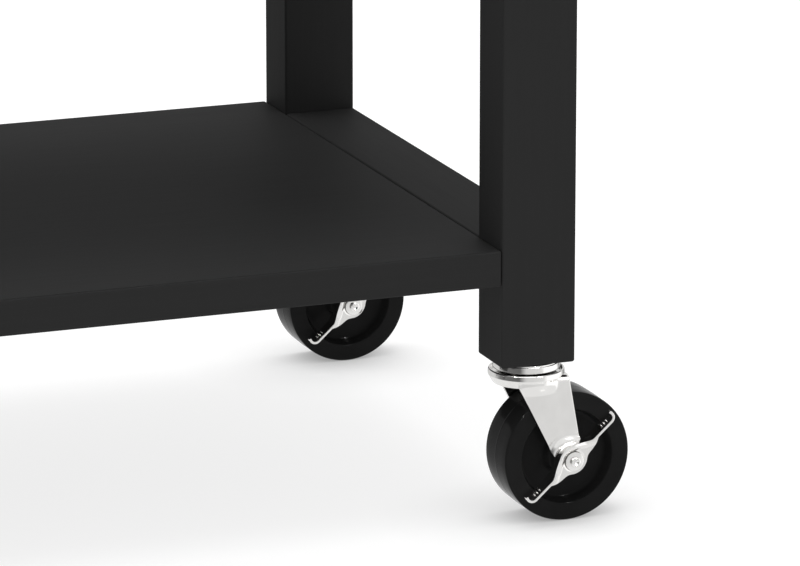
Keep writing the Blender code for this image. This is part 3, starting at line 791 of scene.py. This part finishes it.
def rivet_shape():
    """Axle rivet: domed head behind, washer and dimpled riveted end on the brake side."""
    radius, tip = AXLE_RADIUS, RIVET_TIP
    washer = PLATE_MIDDLE + 0.0010 + RUN
    head_face = -(WHEEL_HALF + FORK_PLAY + 0.0025 + RUN)
    head = RIVET_HIGH.z - AXLE_Z
    corners = [
        (0, tip - 0.0007, 0),
        (0.0008, tip - 0.0006, 0.0003),
        (0.0015, tip, 0.0003),
        (radius, tip - 0.0002, 0.0006),
        (radius, washer + 0.0007, 0),
        (0.0054, washer + 0.0005, 0.0002),
        (0.0054, washer, 0),
        (radius, washer, 0),
        (radius, head_face, 0),
        (head, head_face, 0.0003),
        (head, head_face - 0.0008, 0.0012),
        (head * 0.5, RIVET_HEAD, 0.0020),
        (0, RIVET_HEAD, 0),
    ]
    return moved(turned("rivet", filleted(corners, 4, closed=False), 64, closed=False), AXLE_PLACE)


def cam_shape():
    """Domed washer that the lever's plate rides up on."""
    inner = AXLE_RADIUS + RUN
    corners = [
        (CAM_RADIUS * 0.62, CAM_OUTER, 0.0006),
        (CAM_RADIUS, CAM_INNER + 0.0008, 0.0005),
        (CAM_RADIUS, CAM_INNER, 0),
        (inner, CAM_INNER, 0),
        (inner, CAM_OUTER, 0),
    ]
    return moved(turned("cam", filleted(corners, 4), 64), AXLE_PLACE)


# The lever is drawn lying level: s runs from pedal to pedal over the axle, n is height over the axle.
LEVER_REACH, LEVER_FOOT, LEVER_ARCH = 0.0305, 0.0006, 0.0095
ARCH_HALF = 0.0165
DECK_SHEET, PLATE_SHEET = 0.0014, 0.0018
LEVER_PLACE = Matrix.Translation((TRAIL, 0, AXLE_Z)) @ Matrix.Rotation(-LEVER_ANGLE, 4, "Y")


def arch_height(s):
    bell = (1 + math.cos(math.pi * min(abs(s) / ARCH_HALF, 1.0))) / 2
    return LEVER_FOOT + (LEVER_ARCH - LEVER_FOOT) * bell**0.75


# Lower edge of the lever's plate on one side: a lobe under the axle, a shoulder, then up to the pedal.
PLATE_EDGE = (
    (0, -0.0071), (0.0025, -0.0067), (0.0048, -0.0055), (0.0066, -0.0040), (0.0082, -0.0031),
    (0.0100, -0.0028), (0.0125, -0.0026), (0.0150, -0.0021), (0.0175, -0.0010), (0.0196, 0.0003),
)


def plate_bottom(s):
    """The plate's lower edge at s, eased between the given points."""
    total = 0
    for shift in (-0.0008, -0.0004, 0, 0.0004, 0.0008):
        here = min(abs(s + shift), PLATE_EDGE[-1][0])
        for (s0, n0), (s1, n1) in zip(PLATE_EDGE, PLATE_EDGE[1:]):
            if here <= s1:
                total += n0 + (n1 - n0) * (here - s0) / (s1 - s0)
                break
    return total / 5


def lever_line():
    """Line from toe to toe: both pedals, the arch between them, and the hooked toes."""
    curl, steps = 0.0033, 61
    run = [LEVER_REACH * (2 * i / (steps - 1) - 1) for i in range(steps)]
    level = [(s, arch_height(s)) for s in run]
    toe = arc((LEVER_REACH, LEVER_FOOT + curl), curl, -math.pi / 2, math.radians(15), 10)[1:]
    last = Vector(toe[-1])
    ahead = Vector((-math.sin(math.radians(15)), math.cos(math.radians(15))))
    toe += [tuple(last + ahead * 0.0006 * k) for k in (1, 2)]
    return [(-s, n) for s, n in reversed(toe)] + level + toe


def lever_front(s):
    """How far out the lever's front edge is: proud of the plate, and most over the axle."""
    return PLATE_MIDDLE + 0.0016 + 0.0020 * (1 - smoothstep(abs(s), 0.0050, 0.0125))


def lever_deck(caster):
    """The bent-back deck: narrow over the axle, where the fork is, and a wide pedal at each end."""
    fork_face = WHEEL_HALF + FORK_PLAY + caster.sheet + caster.step_rise + 0.0006
    pedal_back = WHEEL_HALF + 0.0014
    rows = []
    for s, n in lever_line():
        back = fork_face + (pedal_back - fork_face) * smoothstep(abs(s), 0.0105, 0.0140)
        front = lever_front(s)
        if abs(s) > LEVER_REACH:
            back += (front - back) * 0.75 * smoothstep(n, LEVER_FOOT + 0.0004, LEVER_FOOT + 0.0044)
        rows.append([(s, -(back + (front - back) * k / 12), n) for k in range(13)])
    return pressed(grid("deck", rows), DECK_SHEET, caster.steel_edge * 0.8)


def lever_plate(caster):
    """The plate on the axle: flat round the axle, dished out to the deck's front edge above."""
    end, count = PLATE_EDGE[-1][0], 64
    rows = []
    for i in range(count + 1):
        s = end * (2 * i / count - 1)
        top, bottom = arch_height(s), plate_bottom(s)
        bottom = min(bottom, top - 0.0003)
        proud = lever_front(s) - PLATE_SHEET / 2
        row = []
        for k in range(25):
            n = top + (bottom - top) * k / 24
            flat = PLATE_MIDDLE + 0.0004 * smoothstep(math.hypot(s, n), 0.0058, 0.0068)
            row.append((s, -(proud + (flat - proud) * smoothstep(top - n, 0.0004, 0.0040)), n))
        rows.append(row)
    return pressed(grid("plate", rows), PLATE_SHEET, caster.steel_edge * 0.8)


def lever_shape(caster):
    """Brake lever: a plate on the axle, and a deck bent back from it with a pedal at each end."""
    data = cut(lever_deck(caster), lever_plate(caster), "UNION")
    data = cut(data, moved(rod(AXLE_RADIUS + RUN, 0.0, 0.05, 48), ALONG_AXLE))
    return moved(smooth(tidied(data), 35), LEVER_PLACE)


def pedal_ribs_shape(caster, material):
    spacing = 0.0020
    first = LEVER_REACH - 0.0055
    height = LEVER_FOOT + DECK_SHEET / 2
    across = -(WHEEL_HALF + PLATE_MIDDLE) / 2
    count = caster.rib_count
    data = grown(
        pedal_rib_tree(),
        {
            "Rib count": count,
            "Right start": (first, across, height),
            "Left start": (-first - (count - 1) * spacing, across, height),
            "Spacing": (spacing, 0, 0),
            "Rib size": (0.0006, 0.0032, 0.0012),
            "Material": material,
        },
    )
    return moved(data, LEVER_PLACE)


def ball_ring_shape(caster, material):
    data = grown(
        bearing_tree(),
        {
            "Ball count": caster.ball_count,
            "Ball radius": caster.ball_radius,
            "Circle radius": (BALLS_SIZE.x - (BALLS_HIGH.z - BALLS_LOW.z)) / 2,
            "Material": material,
        },
    )
    return moved(data, Matrix.Translation((0, 0, (BALLS_LOW.z + BALLS_HIGH.z) / 2)))


class BARCART_OT_stems(bpy.types.Operator):
    """Caster stems and the cups over the balls, with the inserts in the legs"""

    bl_idname = "barcart.stems"
    bl_label = "Stems and cups"

    def execute(self, context):
        zinc = bright_zinc_plate(context.scene.bar_cart_caster)
        at_corners("race_finished", race_shape(), None, zinc, "upper_race")
        at_corners("stem_finished", stem_shape(), None, zinc, "stem")
        for end, side in CORNERS:
            bpy.data.objects[f"{end}_{side}_leg_insert"].material_slots[0].material = zinc
        return {"FINISHED"}


class BARCART_OT_ball_rings(bpy.types.Operator):
    """Rings of bearing balls between cup and fork"""

    bl_idname = "barcart.ball_rings"
    bl_label = "Ball rings"

    def execute(self, context):
        steel = ground_bearing_steel()
        data = ball_ring_shape(context.scene.bar_cart_caster, steel)
        at_corners("balls_finished", data, "swivel_fork", steel, "ball_cage")
        return {"FINISHED"}


class BARCART_OT_forks(bpy.types.Operator):
    """Pressed swivel forks with their crowns"""

    bl_idname = "barcart.forks"
    bl_label = "Forks"

    def execute(self, context):
        caster = context.scene.bar_cart_caster
        data = fork_shape(caster)
        at_corners("fork_finished", data, "swivel_fork", bright_zinc_plate(caster), "fork")
        return {"FINISHED"}


class BARCART_OT_wheels(bpy.types.Operator):
    """Moulded wheels"""

    bl_idname = "barcart.wheels"
    bl_label = "Wheels"

    def execute(self, context):
        polymer = moulded_phenolic(context.scene.bar_cart_caster)
        data = moved(wheel_shape(), AXLE_PLACE)
        at_corners("wheel_finished", data, "rolling_wheel", polymer, "wheel")
        return {"FINISHED"}


class BARCART_OT_axles(bpy.types.Operator):
    """Axle rivets with their washers and cams, and the sleeves that the wheels run on"""

    bl_idname = "barcart.axles"
    bl_label = "Axles"

    def execute(self, context):
        zinc = bright_zinc_plate(context.scene.bar_cart_caster)
        at_corners("rivet_finished", rivet_shape(), "swivel_fork", zinc, "axle_rivet")
        at_corners("cam_finished", cam_shape(), "swivel_fork", zinc, "brake_cam")
        for end, side in CORNERS:
            bpy.data.objects[f"{end}_{side}_hub_sleeve"].material_slots[0].material = zinc
        return {"FINISHED"}


class BARCART_OT_brakes(bpy.types.Operator):
    """Brake levers with ribbed pedals"""

    bl_idname = "barcart.brakes"
    bl_label = "Brake levers"

    def execute(self, context):
        caster = context.scene.bar_cart_caster
        zinc = bright_zinc_plate(caster)
        at_corners("lever_finished", lever_shape(caster), "brake", zinc, "brake_lever")
        at_corners("pedal_ribs", pedal_ribs_shape(caster, zinc), "brake", zinc)
        return {"FINISHED"}


# ---- Stage ----------------------------------------------------------------------------------------
VIEW_AZIMUTH, VIEW_ELEVATION = math.radians(20.89), math.radians(14.93)
VIEW_DISTANCE = 3.223  # from the camera's plane to the near corner of the right front leg's foot
VIEW_ACROSS, VIEW_UP = 0.0610, -0.0547  # that corner's place in the camera's plane


SHIFT_ACROSS, SHIFT_UP = 0.01, -0.015  # of the camera, in widths of the frame

# What shines mirrors dark flags and bright panels that stand round the cart at eye level. Each pair is
# the angle from the front in degrees and the brightness there. Steeper up and down it is even.
PANELS = (
    (-180, 0.75), (-130, 0.80), (-105, 0.20), (-42, 0.15), (-22, 0.80), (32, 0.88),
    (44, 1.40), (100, 1.40), (120, 0.30), (150, 0.80), (180, 0.75),
)
ABOVE_AND_BELOW = 1.0
RAMP_TOP = 2.0  # the ramp holds brightness over this, because its colours end at 1
# The floor's own glow is dimmed near the cart by ambient occlusion: a painted contact shadow under the wheels
# and shelf.
PAINTED_SHADOW_GLOW, PAINTED_SHADOW_REACH = 0.35, 0.07  # share of the floor's glow left under cover, and how near counts
GLINT_SHARE, GLINT_SIZE = 1.4, (0.30, 0.30)  # of the lamps that only glint, against the overhead light


def soft_light(name, place, target, size, power, diffuse=True):
    """A rectangular lamp aimed at a point; without diffuse it only shows as a glint on what shines."""
    light = bpy.data.lights.new(name, "AREA")
    light.shape = "RECTANGLE"
    light.size, light.size_y = size
    light.energy = power
    lamp = bpy.data.objects.new(name, light)
    bpy.context.scene.collection.objects.link(lamp)
    lamp.visible_diffuse = diffuse
    lamp.location = place
    lamp.rotation_euler = (Vector(target) - Vector(place)).to_track_quat("-Z", "Y").to_euler()


class BARCART_OT_stage(bpy.types.Operator):
    """Pale floor, soft studio light and the camera"""

    bl_idname = "barcart.stage"
    bl_label = "Stage"

    def execute(self, context):
        stage = context.scene.bar_cart_stage
        bm = bmesh.new()
        bmesh.ops.create_circle(bm, cap_ends=True, segments=64, radius=40)
        material, tree, shader = new_material("matt_white_floor", Roughness=1.0, Specular_IOR_Level=0.0)
        shader.inputs["Base Color"].default_value = list(stage.floor)
        shader.inputs["Emission Color"].default_value = (1, 1, 1, 1)
        # Painted shadow: ambient occlusion lowers the floor's glow under and beside the cart, darkest where
        # the cover is nearest.
        painted_shadow_occlusion = add_node(tree, "ShaderNodeAmbientOcclusion", Distance=PAINTED_SHADOW_REACH)
        glow = add_node(
            tree,
            "ShaderNodeMapRange",
            Value=painted_shadow_occlusion.outputs["AO"],
            To_Min=stage.glow * PAINTED_SHADOW_GLOW,
            To_Max=stage.glow,
        )
        tree.links.new(glow.outputs["Result"], shader.inputs["Emission Strength"])
        floor = new_object("studio_floor", mesh_from(bm, "studio_floor"), material)
        floor.visible_glossy = False

        world = bpy.data.worlds.new("studio")
        context.scene.world = world
        world.use_nodes = True
        tree = world.node_tree
        tree.nodes.clear()
        direction = add_node(tree, "ShaderNodeTexCoord").outputs["Generated"]
        parts = add_node(tree, "ShaderNodeSeparateXYZ", Vector=direction).outputs
        front = add_node(
            tree, "ShaderNodeMapRange", {"interpolation_type": "SMOOTHSTEP"},
            Value=parts["Y"], From_Min=0.5, From_Max=-0.8, To_Min=stage.dim, To_Max=stage.bright,
        )
        rays = add_node(tree, "ShaderNodeLightPath").outputs
        back = add_node(tree, "ShaderNodeMath", {"operation": "MULTIPLY"}, i0=parts["Y"], i1=-1.0)
        angle = add_node(tree, "ShaderNodeMath", {"operation": "ARCTAN2"}, i0=parts["X"], i1=back.outputs[0])
        turn = add_node(
            tree, "ShaderNodeMapRange", Value=angle.outputs[0], From_Min=-math.pi, From_Max=math.pi
        )
        panels = add_node(tree, "ShaderNodeValToRGB", Fac=turn.outputs["Result"])
        stops = panels.color_ramp.elements
        for degrees, _ in PANELS[1:-1]:
            stops.new(degrees / 360 + 0.5)
        for stop, (_, level) in zip(stops, PANELS):
            stop.color = (level / RAMP_TOP, level / RAMP_TOP, level / RAMP_TOP, 1)
        steep = add_node(tree, "ShaderNodeMath", {"operation": "ABSOLUTE"}, i0=parts["Z"])
        away = add_node(
            tree, "ShaderNodeMapRange", {"interpolation_type": "SMOOTHSTEP"},
            Value=steep.outputs[0], From_Min=0.34, From_Max=0.48,
        )
        around = add_node(
            tree,
            "ShaderNodeMix",
            Factor=away.outputs["Result"],
            A=panels.outputs["Color"],
            B=ABOVE_AND_BELOW / RAMP_TOP,
        )
        scaled = add_node(
            tree, "ShaderNodeMath", {"operation": "MULTIPLY"}, i0=around.outputs["Result"], i1=RAMP_TOP
        )
        mirrored = add_node(
            tree,
            "ShaderNodeMix",
            Factor=rays["Is Glossy Ray"],
            A=front.outputs["Result"],
            B=scaled.outputs[0],
        )
        room = add_node(tree, "ShaderNodeBackground", Strength=mirrored.outputs["Result"])
        seen = add_node(tree, "ShaderNodeBackground", Strength=1.0)
        both = add_node(tree, "ShaderNodeMixShader", Fac=rays["Is Camera Ray"])
        tree.links.new(room.outputs[0], both.inputs[1])
        tree.links.new(seen.outputs[0], both.inputs[2])
        add_node(tree, "ShaderNodeOutputWorld", Surface=both.outputs[0])
        for background in (room, seen):
            background.inputs["Color"].default_value = (1, 1, 1, 1)

        power = stage.power
        soft_light("overhead", (-0.3, 0.1, 3.6), (0, 0, 0), (3.2, 3.2), power)
        for name, place in (("left_glint", (-2.2, -1.6, 2.8)), ("right_glint", (1.5, -2.0, 3.1))):
            soft_light(name, place, (0, 0, 0.1), GLINT_SIZE, power * GLINT_SHARE, diffuse=False)

        flat = math.cos(VIEW_ELEVATION)
        ahead = Vector(
            (math.sin(VIEW_AZIMUTH) * flat, math.cos(VIEW_AZIMUTH) * flat, -math.sin(VIEW_ELEVATION))
        )
        right = Vector((math.cos(VIEW_AZIMUTH), -math.sin(VIEW_AZIMUTH), 0))
        up = right.cross(ahead)
        corner, _, _ = measured("front_right_leg")
        camera = bpy.data.objects.new("camera", bpy.data.cameras.new("camera"))
        context.scene.collection.objects.link(camera)
        camera.data.lens = stage.lens
        camera.data.shift_x, camera.data.shift_y = SHIFT_ACROSS, SHIFT_UP
        camera.data.clip_end = 200
        camera.location = corner - ahead * VIEW_DISTANCE - right * VIEW_ACROSS - up * VIEW_UP
        camera.rotation_euler = ahead.to_track_quat("-Z", "Y").to_euler()
        context.scene.camera = camera
        context.scene.view_settings.view_transform = "Standard"
        return {"FINISHED"}


class BARCART_PT_panel(bpy.types.Panel):
    """Sidebar panel with one button for each group of pieces"""

    bl_idname = "BARCART_PT_panel"
    bl_label = "Bar Cart"
    bl_space_type = "VIEW_3D"
    bl_region_type = "UI"
    bl_category = "Bar Cart"

    def draw(self, context):
        for operator in OPERATORS:
            self.layout.operator(operator.bl_idname)
        for group_name in GROUPS:
            group = getattr(context.scene, group_name)
            for name in group.__annotations__:
                self.layout.prop(group, name)


GROUPS = {
    "bar_cart_wood": BarCartWood,
    "bar_cart_caster": BarCartCaster,
    "bar_cart_stage": BarCartStage,
}
OPERATORS = (
    BARCART_OT_legs,
    BARCART_OT_boards,
    BARCART_OT_push_bars,
    BARCART_OT_stems,
    BARCART_OT_ball_rings,
    BARCART_OT_forks,
    BARCART_OT_wheels,
    BARCART_OT_axles,
    BARCART_OT_brakes,
    BARCART_OT_stage,
)


def register():
    for name, group in GROUPS.items():
        bpy.utils.register_class(group)
        setattr(bpy.types.Scene, name, bpy.props.PointerProperty(type=group))
    for cls in (*OPERATORS, BARCART_PT_panel):
        bpy.utils.register_class(cls)


def unregister():
    for cls in (BARCART_PT_panel, *reversed(OPERATORS)):
        bpy.utils.unregister_class(cls)
    for name, group in GROUPS.items():
        delattr(bpy.types.Scene, name)
        bpy.utils.unregister_class(group)


def main():
    register()
    for operator in OPERATORS:
        category, name = operator.bl_idname.split(".")
        getattr(getattr(bpy.ops, category), name)()


if __name__ == "__main__":
    main()
